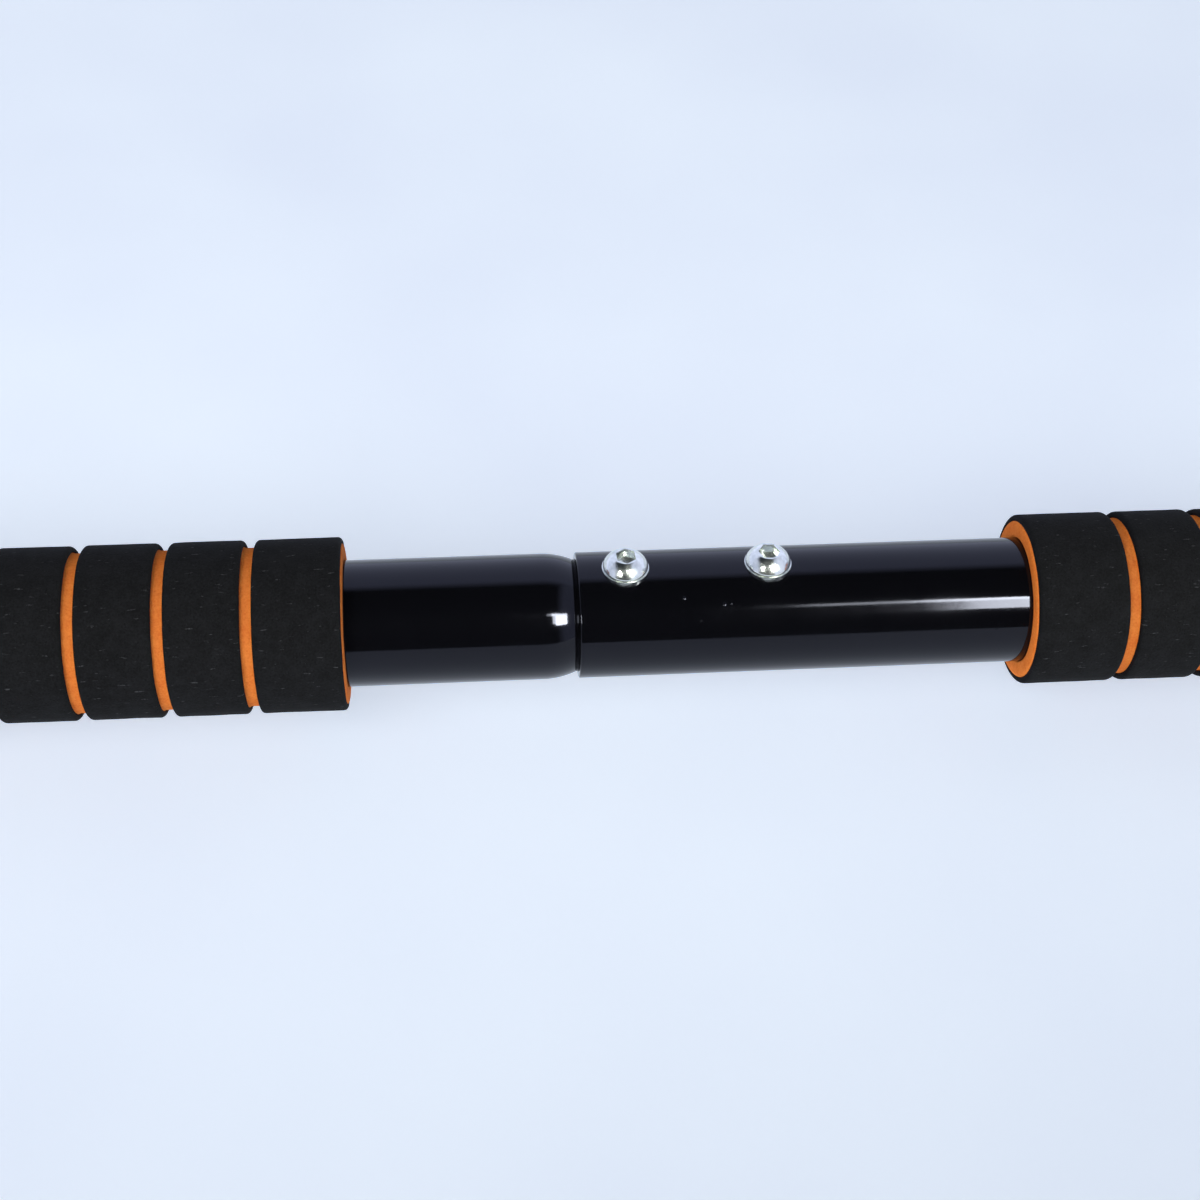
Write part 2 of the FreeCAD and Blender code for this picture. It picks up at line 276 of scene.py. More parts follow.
def relief(tree, shader, height, depth):
    """Bump whose height runs from 0 to 1 over a real depth in metres."""
    bump = node(tree, "Bump", {"Height": height, "Distance": depth, "Strength": 1.0})
    link(tree, bump.outputs[0], shader, "Normal")


def around(tree, where, along_scale, round_scale):
    """Coordinates that follow the bar's surface: along X, and round it as an angle."""
    xyz = node(tree, "SeparateXYZ", {0: where})
    angle = math_node(tree, "ARCTAN2", xyz.outputs[1], xyz.outputs[2])
    along = math_node(tree, "MULTIPLY", xyz.outputs[0], along_scale)
    turn = math_node(tree, "MULTIPLY", angle, round_scale)
    return node(tree, "CombineXYZ", {0: along, 1: turn}).outputs[0]


# ---- materials ----

def gloss_black_paint():
    """Sprayed gloss enamel: faint orange peel, a little dust under the film and light handling marks."""
    color = rgb(0.0035, 0.0034, 0.0045)
    made, tree, shader, where = material("gloss_black_paint", color, roughness=0.09, specular=0.27)
    shader.inputs["Specular Tint"].default_value = rgb(0.80, 0.82, 1.0)
    smear = grain(tree, where, scale=55, detail=4)
    unrolled = around(tree, where, along_scale=260, round_scale=5)
    scuffs = specks(tree, unrolled, scale=1.0, share=0.035, size=0.16)
    rough = remap(tree, smear, 0.35, 0.75, 0.06, 0.13)
    rough = math_node(tree, "ADD", rough, math_node(tree, "MULTIPLY", scuffs, 0.16))
    link(tree, rough, shader, "Roughness")
    fine_peel = math_node(tree, "MULTIPLY", grain(tree, where, scale=1300, detail=1), 0.12)
    broad_peel = math_node(tree, "MULTIPLY", grain(tree, where, scale=260, detail=1), 0.3)
    dust = math_node(tree, "MULTIPLY", specks(tree, where, scale=240, share=0.05, size=0.13), 0.8)
    height = math_node(tree, "ADD", math_node(tree, "ADD", fine_peel, broad_peel), dust)
    relief(tree, shader, height, depth=0.02 * MM)
    return made


def foam(name, dark, light, fleck, fleck_level):
    """Closed-cell foam rubber with a ground surface: open pores, dented in and painted darker as shade
    inside them, soft mottling and stray light fibres.
    """
    made, tree, shader, where = material(name, light, roughness=0.93, specular=0.1)
    mottle = grain(tree, where, scale=280, detail=4, roughness=0.65)
    fine = grain(tree, where, scale=1900, detail=3, roughness=0.65)
    share = blend(tree, 0.5, fine, mottle)
    color = blend(tree, remap(tree, share, 0.38, 0.62), dark, light)
    pore_dents_and_shade = specks(tree, where, scale=1500, share=0.42, size=0.42)
    # Painted shade: the pores' colour is pulled towards the dark tone, standing in for the shade inside the
    # dents.
    color = blend(tree, math_node(tree, "MULTIPLY", pore_dents_and_shade, 0.6), color, dark)
    unrolled = around(tree, where, along_scale=330, round_scale=30)
    fibres = grain(tree, unrolled, scale=1.0, detail=2, roughness=0.4)
    fibres = remap(tree, fibres, fleck_level, fleck_level + 0.06)
    color = blend(tree, math_node(tree, "MULTIPLY", fibres, remap(tree, fine, 0.4, 0.6)), color, fleck)
    link(tree, color, shader, "Base Color")
    height = math_node(tree, "SUBTRACT", math_node(tree, "MULTIPLY", fine, 0.6), pore_dents_and_shade)
    relief(tree, shader, height, depth=0.05 * MM)
    return made


def black_foam():
    dark, light = rgb(0.0020, 0.0021, 0.0028), rgb(0.0086, 0.0089, 0.0104)
    return foam("black_foam", dark, light, fleck=rgb(0.055, 0.055, 0.058), fleck_level=0.672)


def orange_foam():
    dark, light = rgb(0.86, 0.185, 0.026), rgb(1.0, 0.29, 0.048)
    return foam("orange_foam", dark, light, fleck=rgb(1.0, 0.46, 0.17), fleck_level=0.76)


def bright_zinc():
    """Electroplated zinc on a forged head: bright and slightly cool, with a fine uneven skin."""
    made, tree, shader, where = material("bright_zinc", rgb(0.70, 0.73, 0.74), roughness=0.12, metallic=1.0)
    cloud = grain(tree, where, scale=420, detail=4, roughness=0.6)
    color = blend(tree, remap(tree, cloud, 0.35, 0.65), rgb(0.60, 0.63, 0.61), rgb(0.83, 0.85, 0.80))
    link(tree, color, shader, "Base Color")
    rough = remap(tree, grain(tree, where, scale=900, detail=3), 0.3, 0.7, 0.13, 0.24)
    link(tree, rough, shader, "Roughness")
    relief(tree, shader, grain(tree, where, scale=800, detail=3, roughness=0.5), depth=0.05 * MM)
    return made


def turned_zinc():
    """Zinc over a turned surface, with the lathe tool's fine rings still in it."""
    made, tree, shader, where = material("turned_zinc", rgb(0.62, 0.65, 0.69), roughness=0.3, metallic=1.0)
    xyz = node(tree, "SeparateXYZ", {0: where})
    squares = [math_node(tree, "MULTIPLY", xyz.outputs[i], xyz.outputs[i]) for i in (1, 2)]
    radius = math_node(tree, "SQRT", math_node(tree, "ADD", squares[0], squares[1]))
    rings = node(tree, "CombineXYZ", {0: xyz.outputs[0], 1: radius}).outputs[0]
    lines = grain(tree, rings, scale=2600, detail=2)
    cloud = grain(tree, where, scale=170, detail=3)
    color = blend(tree, remap(tree, cloud, 0.35, 0.7), rgb(0.50, 0.52, 0.55), rgb(0.72, 0.74, 0.76))
    link(tree, color, shader, "Base Color")
    link(tree, remap(tree, lines, 0.3, 0.7, 0.24, 0.42), shader, "Roughness")
    relief(tree, shader, lines, depth=0.012 * MM)
    return made


def satin_steel():
    """Plain rivet and pin steel, slightly oiled and darker in places."""
    made, tree, shader, where = material("satin_steel", rgb(0.42, 0.42, 0.43), roughness=0.35, metallic=1.0)
    cloud = grain(tree, where, scale=420, detail=4)
    color = blend(tree, remap(tree, cloud, 0.3, 0.7), rgb(0.27, 0.27, 0.28), rgb(0.55, 0.55, 0.56))
    link(tree, color, shader, "Base Color")
    link(tree, remap(tree, cloud, 0.3, 0.7, 0.28, 0.48), shader, "Roughness")
    relief(tree, shader, grain(tree, where, scale=1400, detail=3), depth=0.02 * MM)
    return made


def moulded_nylon():
    """Black glass-filled nylon with a spark-eroded texture, polished a little by hands."""
    color = rgb(0.012, 0.012, 0.013)
    made, tree, shader, where = material("moulded_nylon", color, roughness=0.5, specular=0.4)
    handled = grain(tree, where, scale=70, detail=3)
    spark = grain(tree, where, scale=2600, detail=2)
    color = blend(tree, remap(tree, spark, 0.3, 0.7), rgb(0.009, 0.009, 0.010), rgb(0.017, 0.017, 0.018))
    link(tree, color, shader, "Base Color")
    link(tree, remap(tree, handled, 0.35, 0.7, 0.36, 0.58), shader, "Roughness")
    relief(tree, shader, spark, depth=0.035 * MM)
    return made


def moulded_rubber():
    """Black rubber with a fine bloom that shows paler where nothing rubs it."""
    color = rgb(0.014, 0.014, 0.014)
    made, tree, shader, where = material("moulded_rubber", color, roughness=0.72, specular=0.35)
    bloom = grain(tree, where, scale=130, detail=5, roughness=0.65)
    color = blend(tree, remap(tree, bloom, 0.4, 0.75), rgb(0.011, 0.011, 0.0115), rgb(0.024, 0.024, 0.0235))
    dust = specks(tree, where, scale=900, share=0.05, size=0.3)
    color = blend(tree, math_node(tree, "MULTIPLY", dust, 0.5), color, rgb(0.12, 0.115, 0.11))
    link(tree, color, shader, "Base Color")
    link(tree, remap(tree, bloom, 0.35, 0.75, 0.62, 0.82), shader, "Roughness")
    relief(tree, shader, grain(tree, where, scale=1500, detail=3), depth=0.03 * MM)
    return made


def natural_nylon():
    color = rgb(0.72, 0.70, 0.64)
    made, tree, shader, where = material("natural_nylon", color, roughness=0.42, specular=0.45)
    cloud = grain(tree, where, scale=300, detail=3)
    color = blend(tree, cloud, rgb(0.66, 0.64, 0.57), rgb(0.76, 0.74, 0.69))
    link(tree, color, shader, "Base Color")
    relief(tree, shader, grain(tree, where, scale=1200, detail=2), depth=0.01 * MM)
    return made


def lit_sheet():
    """The studio floor: a matt blue-white sheet that glows, which is painted light that keeps shadows on it
    faint. It glows less in front of the bar and more under and behind it, where the glow fills the bar's
    own shade."""
    made, tree, shader, where = material("lit_sheet", rgb(0.80, 0.86, 0.94), roughness=0.75, specular=0.2)
    cloud = remap(tree, grain(tree, where, scale=6, detail=3), 0.3, 0.7)
    color = blend(tree, cloud, rgb(0.77, 0.83, 0.92), rgb(0.81, 0.87, 0.945))
    link(tree, color, shader, "Base Color")
    # Painted light: the sheet glows, more strongly under and behind the bar, filling the shade that the bar
    # casts on it.
    shade_filling_glow = blend(tree, cloud, rgb(0.62, 0.68, 0.82), rgb(0.69, 0.76, 0.88))
    link(tree, shade_filling_glow, shader, "Emission Color")
    depth = node(tree, "SeparateXYZ", {0: where}).outputs[1]
    link(tree, remap(tree, depth, -0.15, 0.0, 0.36, 0.575), shader, "Emission Strength")
    return made


# ---- putting a piece in its place ----

def settle(piece, body, finish, slot, *nodes):
    """Gives a piece its material and its body, and hides the CAD nodes that it stands for. The slot
    argument is not used.
    """
    piece.data.materials.clear()
    piece.data.materials.append(finish)
    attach(piece, body)
    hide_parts(*nodes)


def keep(name, finish):
    """Shows a CAD node as it is, in a new material."""
    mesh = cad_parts[name].data
    mesh.materials.clear()
    mesh.materials.append(finish)


# ---- tubes ----

# Nibs in the right tube's paint: (x, degrees round from +Z towards the front, radius)
NIBS = ((-3.5 * MM, 33.5, 0.45 * MM), (5.4 * MM, 40.5, 0.5 * MM), (6.9 * MM, 40, 0.25 * MM))


def add_nib(bm, x, degrees, size):
    """A small smooth bump, half sunk in the tube's surface."""
    dome = bmesh.ops.create_icosphere(bm, subdivisions=3, radius=size)["verts"]
    flat = Matrix.Diagonal((1.0, 1.0, 0.45, 1.0))
    place = Matrix.Rotation(math.radians(degrees), 4, "X") @ Matrix.Translation((x, 0, TUBE_R))
    bmesh.ops.transform(bm, matrix=place @ flat, verts=dome)


def right_tube(paint):
    low, high = BOXES["right_tube"]
    outline = rounded(
        [
            (low.x, BORE_R, SMALL_EDGE),
            (low.x, TUBE_R, TUBE_EDGE),
            (high.x, TUBE_R, TUBE_EDGE),
            (high.x, BORE_R, SMALL_EDGE),
        ]
    )
    bm = bmesh.new()
    turn_shell(bm, outline, FINE)
    for x, degrees, size in NIBS:
        add_nib(bm, x, degrees, size)
    settle(finished("right_tube_shell", bm), "bar", paint, "tube_paint", "right_tube")


def left_tube(paint):
    """Plain tube, a round swaged shoulder, then the spigot that goes into the right tube."""
    low, high = BOXES["left_tube"]
    seam = BOXES["right_tube"][0].x
    spigot_r = BORE_R - RUNNING_PLAY
    drop = TUBE_R - spigot_r
    shoulder, gap = 7.5 * MM, 0.4 * MM
    end = seam - gap
    bend_r = (shoulder**2 + drop**2) / (2 * drop)
    turn = math.degrees(math.asin(shoulder / bend_r))
    swage = arc((end - shoulder, TUBE_R - bend_r), bend_r, 90, 90 - turn, 14)
    corners = [(low.x, BORE_R, SMALL_EDGE), (low.x, TUBE_R, TUBE_EDGE)]
    corners += [(p.x, p.y, 0) for p in swage[:-1]]
    corners += [
        (end, spigot_r, 0),
        (high.x, spigot_r, SMALL_EDGE),
        (high.x, spigot_r - TUBE_WALL, SMALL_EDGE),
        (end, spigot_r - TUBE_WALL, 0),
        (end - shoulder, BORE_R, 0),
    ]
    settle(turned("left_tube_shell", rounded(corners)), "bar", paint, "tube_paint", "left_tube")


# ---- joint fasteners ----

def joint_screw(side, zinc):
    """Button head with a hexagon socket, built along +X from its seat."""
    name = side + "_joint_screw"
    low, high = BOXES[name]
    middle = (low.x + high.x) / 2
    half = (high.x - low.x) / 2
    seat = BOXES[side + "_head_washer"][1].z
    top = high.z - seat
    rim, rim_round, shank_r = 0.6 * MM, 0.3 * MM, 2.95 * MM
    crown = 2.55 * MM  # the radius where the dome gives way to the socket
    flats, socket_floor, drill_point = 4 * MM, top - 2.1 * MM, 0.5 * MM
    socket_edge = ((0.0, 0.3 * MM), (0.05 * MM, 0.12 * MM), (0.2 * MM, 0.0))  # (depth, extra width)
    centre = (half**2 + rim**2 - crown**2 - top**2) / (2 * (rim - top))
    dome_r = math.hypot(half, rim - centre)
    first = math.degrees(math.atan2(half, rim - centre))
    last = math.degrees(math.atan2(crown, top - centre))

    def socket(grow):
        return lambda angle: hexagon_r(flats + grow, angle + SOCKET_TURN[side])

    outline = [(low.z - seat, 0), (low.z - seat, shank_r), (0, shank_r), (0, half - rim_round)]
    outline += arc((rim_round, half - rim_round), rim_round, 180, 90, 4)[1:]
    outline += arc((centre, 0), dome_r, first, last, 18)
    outline += [(top - depth, socket(extra)) for depth, extra in socket_edge]
    outline += [(socket_floor, socket(0)), (socket_floor - drill_point, 0)]
    piece = turned(name + "_forged", outline, SMALL)
    piece.data.transform(standing(middle, seat))
    settle(piece, "bar", zinc, "joint_zinc", name)


# ---- grips ----

FIRST_BAND = {"left": 19.2 * MM, "right": 20.6 * MM}
INNER_BAND = 16.4 * MM
INNER_BANDS = 9
LAST_BAND = 19.2 * MM
GROOVE = 2.5 * MM
GROOVE_FLOOR_R = 17.8 * MM


def bands(side):
    """(start, end) of each black band, outward from the bar's middle."""
    x = nearest(side + "_grip_bands")
    found = []
    for length in [FIRST_BAND[side]] + [INNER_BAND] * INNER_BANDS + [LAST_BAND]:
        found.append((x, x + length))
        x += length + GROOVE
    return found


def soft(piece, amount, size):
    """Makes foam a little uneven: smooth bumps of that height and size, and smaller shifts along X."""
    elsewhere = Vector((7, 3, 5))  # keeps the shifts from following the bumps
    shift_share = 0.7
    for vertex in piece.data.vertices:
        place = vertex.co
        away = Vector((0, place.y, place.z)).normalized()
        lift = noise.noise(place / size)
        shift = noise.noise(place / size + elsewhere)
        vertex.co = place + away * lift * amount + Vector((shift * amount * shift_share, 0, 0))


def lengthwise(outline, step):
    """Adds points to an outline's long straight runs, so that the mesh can be uneven there."""
    points = []
    for here, there in zip(outline, outline[1:] + outline[:1]):
        parts = max(1, round((there - here).length / step))
        points += [here.lerp(there, k / parts) for k in range(parts)]
    return points


def grip_core(side, sign, foam_finish):
    """Orange sleeve. Its ends stand a little past the bands, and each groove is cut a little into it."""
    name = side + "_grip_core"
    bore, outer = TUBE_R + PRESSED_PLAY, reach(name)
    inner_end, outer_end = nearest(name), furthest(name)
    bore_round, end_round = 0.5 * MM, 1.1 * MM
    lip_round, floor_round = 0.4 * MM, 0.6 * MM
    under, slope = 0.6 * MM, 0.1 * MM  # a groove's wall starts under the band and ends past its edge
    corners = [(inner_end, bore, bore_round), (inner_end, outer, end_round)]
    stretches = bands(side)
    for (_, a), (b, _) in zip(stretches, stretches[1:]):
        corners += [(a - under, outer, lip_round), (a + slope, GROOVE_FLOOR_R, floor_round)]
        corners += [(b - slope, GROOVE_FLOOR_R, floor_round), (b + under, outer, lip_round)]
    corners += [(outer_end, outer, end_round), (outer_end, bore, bore_round)]
    outline = lengthwise(rounded(corners, steps=4), step=4 * MM)
    piece = turned(name + "_sleeve", mirrored(outline, sign))
    soft(piece, amount=0.10 * MM, size=9 * MM)
    settle(piece, "bar", foam_finish, "grip_orange_foam", name)


def grip_bands(side, sign, foam_finish):
    """Black bands, each bedded a little in the sleeve."""
    name = side + "_grip_bands"
    bedding, inner_round, outer_round = 0.3 * MM, 0.3 * MM, 1.0 * MM
    outer, inner = reach(name), reach(side + "_grip_core") - bedding
    bm = bmesh.new()
    for start, end in bands(side):
        corners = [
            (start, inner, inner_round),
            (start, outer, outer_round),
            (end, outer, outer_round),
            (end, inner, inner_round),
        ]
        outline = lengthwise(rounded(corners), step=1.6 * MM)
        turn_shell(bm, mirrored(outline, sign), FINE)
    piece = finished(name + "_skin", bm)
    soft(piece, amount=0.09 * MM, size=6 * MM)
    settle(piece, "bar", foam_finish, "grip_black_foam", name)


# ---- ends ----

def end_bush(side, sign, finish):
    """Bush pressed into the tube's end, with a rounded flange and a chamfered mouth."""
    name = side + "_end_bush"
    tube_end = furthest(side + "_tube")
    inner, face = nearest(name), furthest(name)
    body, bore = BORE_R - PRESSED_PLAY, reach(side + "_end_screw") + RUNNING_PLAY
    flange, chamfer = reach(name), 1.0 * MM
    corners = [
        (inner, bore, 0.2 * MM),
        (inner, body, 0.4 * MM),
        (tube_end, body, 0),
        (tube_end, flange, 0.5 * MM),
        (face, flange, 1.1 * MM),
        (face, bore + chamfer, SMALL_EDGE),
        (face - chamfer, bore, SMALL_EDGE),
    ]
    piece = turned(name + "_turned", mirrored(rounded(corners), sign))
    settle(piece, "bar", finish, "bush_zinc", name)


def bush_rivets(side, finish):
    """Three domed rivet heads round the tube, each sunk far enough to meet its curve all round."""
    name = side + "_bush_rivets"
    low, high = BOXES[name]
    middle = (low.x + high.x) / 2
    head_r = (high.x - low.x) / 2
    rise = high.z - TUBE_R
    dome_r = (head_r**2 + rise**2) / (2 * rise)
    count, steps, segments = 3, 10, 48
    shank, shank_r = -2.5 * MM, head_r * 0.6
    skirt, edge = -1.3 * MM, -0.1 * MM  # the skirt's foot and its top, from the tube's crest
    dome_share, step_up = 0.985, 0.03 * MM  # the dome starts just inside the skirt's top and above it
    outline = [(shank, 0), (shank, shank_r), (skirt, head_r), (edge, head_r)]
    for i in range(steps):
        r = head_r * math.cos(math.pi / 2 * i / steps) * dome_share
        outline.append((math.sqrt(dome_r**2 - r**2) - (dome_r - rise) + step_up, r))
    outline.append((rise, 0))
    bm = bmesh.new()
    for k in range(count):
        before = set(bm.verts)
        turn_shell(bm, outline, segments)
        place = Matrix.Rotation(2 * math.pi * k / count, 4, "X") @ standing(middle, TUBE_R)
        bmesh.ops.transform(bm, matrix=place, verts=[v for v in bm.verts if v not in before])
    piece = finished(name + "_domes", bm)
    settle(piece, "bar", finish, "rivet_steel", name)


# One turn of the end screws' thread: (share of the lead, share of the depth)
THREAD_SHAPE = (
    (0.0, 0.0),
    (0.16, 0.0),
    (0.19, 0.05),
    (0.30, 0.93),
    (0.33, 1.0),
    (0.66, 1.0),
    (0.69, 0.93),
    (0.80, 0.05),
)


def turn_thread(bm, x0, x1, crest):
    """A right-handed thread round X with closed ends, where it fades to its root."""
    root = crest - THREAD_DEPTH
    turns = math.ceil((x1 - x0) / THREAD_LEAD) + 2
    per_turn = len(THREAD_SHAPE)
    loops = []
    for k in range(turns * per_turn):
        share, depth = THREAD_SHAPE[k % per_turn]
        loop = []
        for i in range(SMALL):
            x = x0 + THREAD_LEAD * (k // per_turn + share - 1 + i / SMALL)
            x = min(max(x, x0), x1)
            fade = min(1.0, (x - x0) / THREAD_LEAD, (x1 - x) / THREAD_LEAD)
            r = root + THREAD_DEPTH * depth * fade
            angle = 2 * math.pi * i / SMALL
            loop.append(bm.verts.new((x, -r * math.sin(angle), r * math.cos(angle))))
        loops.append(loop)
    for k in range(len(loops) - 1):
        here, there = loops[k], loops[k + 1]
        for i in range(SMALL - 1):
            bm.faces.new((here[i], there[i], there[i + 1], here[i + 1]))
        if k + 1 + per_turn < len(loops):
            bm.faces.new((here[-1], there[-1], loops[k + 1 + per_turn][0], loops[k + per_turn][0]))
    bridge(bm, [bm.verts.new((x0, 0, 0))], loops[0])
    bridge(bm, loops[-1], [bm.verts.new((x1, 0, 0))])


def end_screw(side, sign, finish):
    """Threaded rod that ends in a plain collar under the knob and a journal through the cup."""
    name = side + "_end_screw"
    start, tip = nearest(name), furthest(name)
    crest = reach(name)
    knob_front, knob_back = nearest(side + "_knob"), furthest(side + "_knob")
    thread_end, collar_start = knob_front + 1 * MM, knob_front + 1.5 * MM  # both hidden in the knob
    bm = bmesh.new()
    turn_thread(bm, *sorted((sign * start, sign * thread_end)), crest)
    collar = rounded(
        [
            (collar_start, 0, 0),
            (collar_start, crest, 0.4 * MM),
            (knob_back, crest, 0.2 * MM),
            (knob_back, JOURNAL_R, 0),
            (tip, JOURNAL_R, 0.3 * MM),
            (tip, 0, 0),
        ]
    )
    turn_shell(bm, mirrored(collar, sign), SMALL)
    settle(finished(name + "_rod", bm), side + "_screw", finish, "screw_zinc", name)


def knob(side, sign, finish):
    """Lobed hand wheel on a round hub, moulded in one piece, with a shallow dish in its outer face."""
    name = side + "_knob"
    front, back = nearest(name), furthest(name)
    outer = reach(name)
    rim = front + 8 * MM
    bore = reach(side + "_end_screw") + PRESSED_PLAY
    hub, hub_round, fillet = 15 * MM, 1.5 * MM, 2.5 * MM
    edge, flat, blend_width = 2.2 * MM, 1.2 * MM, 1.2 * MM
    dish, steps = 0.8 * MM, 6
    scallop_centre = outer - SCALLOP_DEPTH + SCALLOP_R
    sector = 2 * math.pi / KNOB_LOBES

    def lobed(shrink):
        """The wheel's radius at an angle: a circle less the scallops, blended where they meet."""

        def radius(angle):
            from_lobe = abs((angle + sector / 2) % sector - sector / 2)
            from_scallop = sector / 2 - from_lobe
            middle = scallop_centre * math.cos(from_scallop)
            chord = SCALLOP_R**2 - (scallop_centre * math.sin(from_scallop)) ** 2
            dip = middle - math.sqrt(chord) if chord > 0 else outer * 2
            nearness = max(0.0, 1 - abs(outer - dip) / (2 * blend_width))
            return min(outer, dip) - blend_width / 2 * nearness**2 - shrink

        return radius

    outline = [(front, bore), (front, hub - hub_round)]
    outline += arc((front + hub_round, hub - hub_round), hub_round, 180, 90, steps)
    outline += [(rim - fillet, hub)]
    outline += arc((rim - fillet, hub + fillet), fillet, 270, 360, steps)[1:]
    outline += [(rim, lobed(edge + flat))]
    quarter = [math.radians(90 * k / steps) for k in range(steps + 1)]
    for angle in quarter:
        outline.append((rim + edge * (1 - math.cos(angle)), lobed(edge * (1 - math.sin(angle)))))
    for angle in quarter:
        outline.append((back - edge * (1 - math.sin(angle)), lobed(edge * (1 - math.cos(angle)))))
    outline += [(back, outer - 6.5 * MM), (back - dish, outer - 7.3 * MM)]
    outline += [(back - dish, bore + 4.6 * MM), (back, bore + 4 * MM), (back, bore)]
    piece = turned(name + "_wheel", mirrored(outline, sign))
    settle(piece, side + "_screw", finish, "knob_plastic", name)


def knob_pin(side, finish):
    """Rolled spring pin: a tube with a slit down one side, standing along Z."""
    name = side + "_knob_pin"
    low, high = BOXES[name]
    middle = (low.x + high.x) / 2
    outer = (high.x - low.x) / 2
    bore_share, chamfer = 0.62, 0.35 * MM
    inner = outer * bore_share
    slit, steps = math.radians(22), 40
    bm = bmesh.new()
    outline = [
        (low.z, inner),
        (low.z, outer - chamfer),
        (low.z + chamfer, outer),
        (high.z - chamfer, outer),
        (high.z, outer - chamfer),
        (high.z, inner),
    ]
    columns = []
    for i in range(steps + 1):
        angle = slit / 2 + (2 * math.pi - slit) * i / steps
        place = (math.cos(angle), math.sin(angle))
        columns.append([bm.verts.new((middle + r * place[0], r * place[1], z)) for z, r in outline])
    for here, there in zip(columns, columns[1:]):
        for k in range(len(outline)):
            j = (k + 1) % len(outline)
            bm.faces.new((here[k], here[j], there[j], there[k]))
    bm.faces.new(columns[0])
    bm.faces.new(columns[-1])
    settle(finished(name + "_rolled", bm), side + "_screw", finish, "pin_steel", name)


def thrust_washer(side, sign, finish):
    """Nylon ring with rounded rims."""
    name = side + "_thrust_washer"
    outer, rim_round = reach(name), 0.3 * MM
    near, far = nearest(name), furthest(name)
    corners = [
        (near, JOURNAL_HOLE_R, SMALL_EDGE),
        (near, outer, rim_round),
        (far, outer, rim_round),
        (far, JOURNAL_HOLE_R, SMALL_EDGE),
    ]
    piece = turned(name + "_ring", mirrored(rounded(corners), sign), SMALL)
    settle(piece, side + "_screw", finish, "washer_nylon", name)


def foot_cup(side, sign, paint):
    """Pressed cup: boss, flare and a straight rim, with the soft bends of sheet steel."""
    name = side + "_foot_cup"
    front, mouth = nearest(name), furthest(name)
    rim, flare, boss = reach(name), 20 * MM, 13 * MM
    boss_end, flare_end, rim_start = front + 3.5 * MM, front + 9.5 * MM, front + 12.5 * MM
    floor, dish_edge, wall = front + 11.5 * MM, front + 15 * MM, 3 * MM
    hole_edge, mouth_edge = 0.2 * MM, 0.3 * MM
    corners = [
        (front, JOURNAL_HOLE_R, hole_edge),
        (front, boss, 1.3 * MM),
        (boss_end, boss, 2.0 * MM),
        (flare_end, flare, 5.0 * MM),
        (rim_start, rim, 2.2 * MM),
        (mouth, rim, mouth_edge),
        (mouth, rim - wall, mouth_edge),
        (dish_edge, rim - wall - 1 * MM, 1.0 * MM),
        (floor, boss + 0.5 * MM, 1.5 * MM),
        (floor, JOURNAL_HOLE_R, hole_edge),
    ]
    piece = turned(name + "_pressed", mirrored(rounded(corners), sign))
    settle(piece, side + "_foot", paint, "cup_paint", name)


TREAD_GROOVES = (8 * MM, 13 * MM, 18 * MM, 23 * MM, 28 * MM)  # the radius of each groove's middle
TREAD_GROOVE_HALF = 0.75 * MM


def foot_pad(side, sign, finish):
    """Moulded rubber foot with a rolled lip, a mould line and ring grooves in its tread."""
    name = side + "_foot_pad"
    back, face = nearest(name), furthest(name)
    outer, lip = reach(name), reach(side + "_foot_cup")
    mouth = furthest(side + "_foot_cup")
    plug, cavity = 26.8 * MM, 14.5 * MM
    plug_back, web, floor = back + 1 * MM, face - 7 * MM, face - 1.2 * MM
    line, line_height = back + 6 * MM, 0.2 * MM
    side_r = outer - line_height
    draft, groove_edge, floor_edge, plug_edge = 0.1 * MM, 0.25 * MM, 0.2 * MM, 0.3 * MM
    corners = [(web, 0, 0), (face, 0, 0)]
    for radius in TREAD_GROOVES:
        low, high = radius - TREAD_GROOVE_HALF, radius + TREAD_GROOVE_HALF
        corners += [(face, low, groove_edge), (floor, low + draft, floor_edge)]
        corners += [(floor, high - draft, floor_edge), (face, high, groove_edge)]
    corners += [
        (face, side_r, 2.2 * MM),
        (line + line_height, side_r, 0),
        (line, outer, 0),
        (line - line_height, side_r, 0),
        (back, side_r, 1.6 * MM),
        (back, lip, 0.5 * MM),
        (mouth, lip, 0),
        (mouth, plug, 0),
        (plug_back, plug, plug_edge),
        (plug_back, cavity, plug_edge),
        (web, cavity, 0),
    ]
    piece = turned(name + "_tread", mirrored(rounded(corners), sign))
    settle(piece, side + "_foot", finish, "pad_rubber", name)


# ---- studio ----

FLOOR_GAP = 0.2 * MM
FLOOR_Z = BOXES["right_foot_pad"][0].z - FLOOR_GAP
FLOOR_REACH = 12.0
FLOOR_SPLIT = -0.30  # the y where the front sheet meets the back one


def aim(obj, place, target, roll_degrees=0.0):
    """Puts an object at a place, with its -Z axis towards the target and X level before the roll."""
    forward = (Vector(target) - Vector(place)).normalized()
    right = forward.cross(Vector((0, 0, 1))).normalized()
    up = right.cross(forward)
    turn = Matrix((right, up, -forward)).transposed().to_4x4()
    roll = Matrix.Rotation(math.radians(roll_degrees), 4, "Z")
    obj.matrix_world = Matrix.Translation(place) @ turn @ roll


def floor_sheet(name, finish, y0, y1, reflected):
    bm = bmesh.new()
    corners = [(-FLOOR_REACH, y0), (FLOOR_REACH, y0), (FLOOR_REACH, y1), (-FLOOR_REACH, y1)]
    bm.faces.new([bm.verts.new((x, y, FLOOR_Z)) for x, y in corners])
    mesh = bpy.data.meshes.new(name)
    bm.to_mesh(mesh)
    bm.free()
    sheet = bpy.data.objects.new(name, mesh)
    bpy.context.scene.collection.objects.link(sheet)
    mesh.materials.append(finish)
    sheet.visible_glossy = reflected


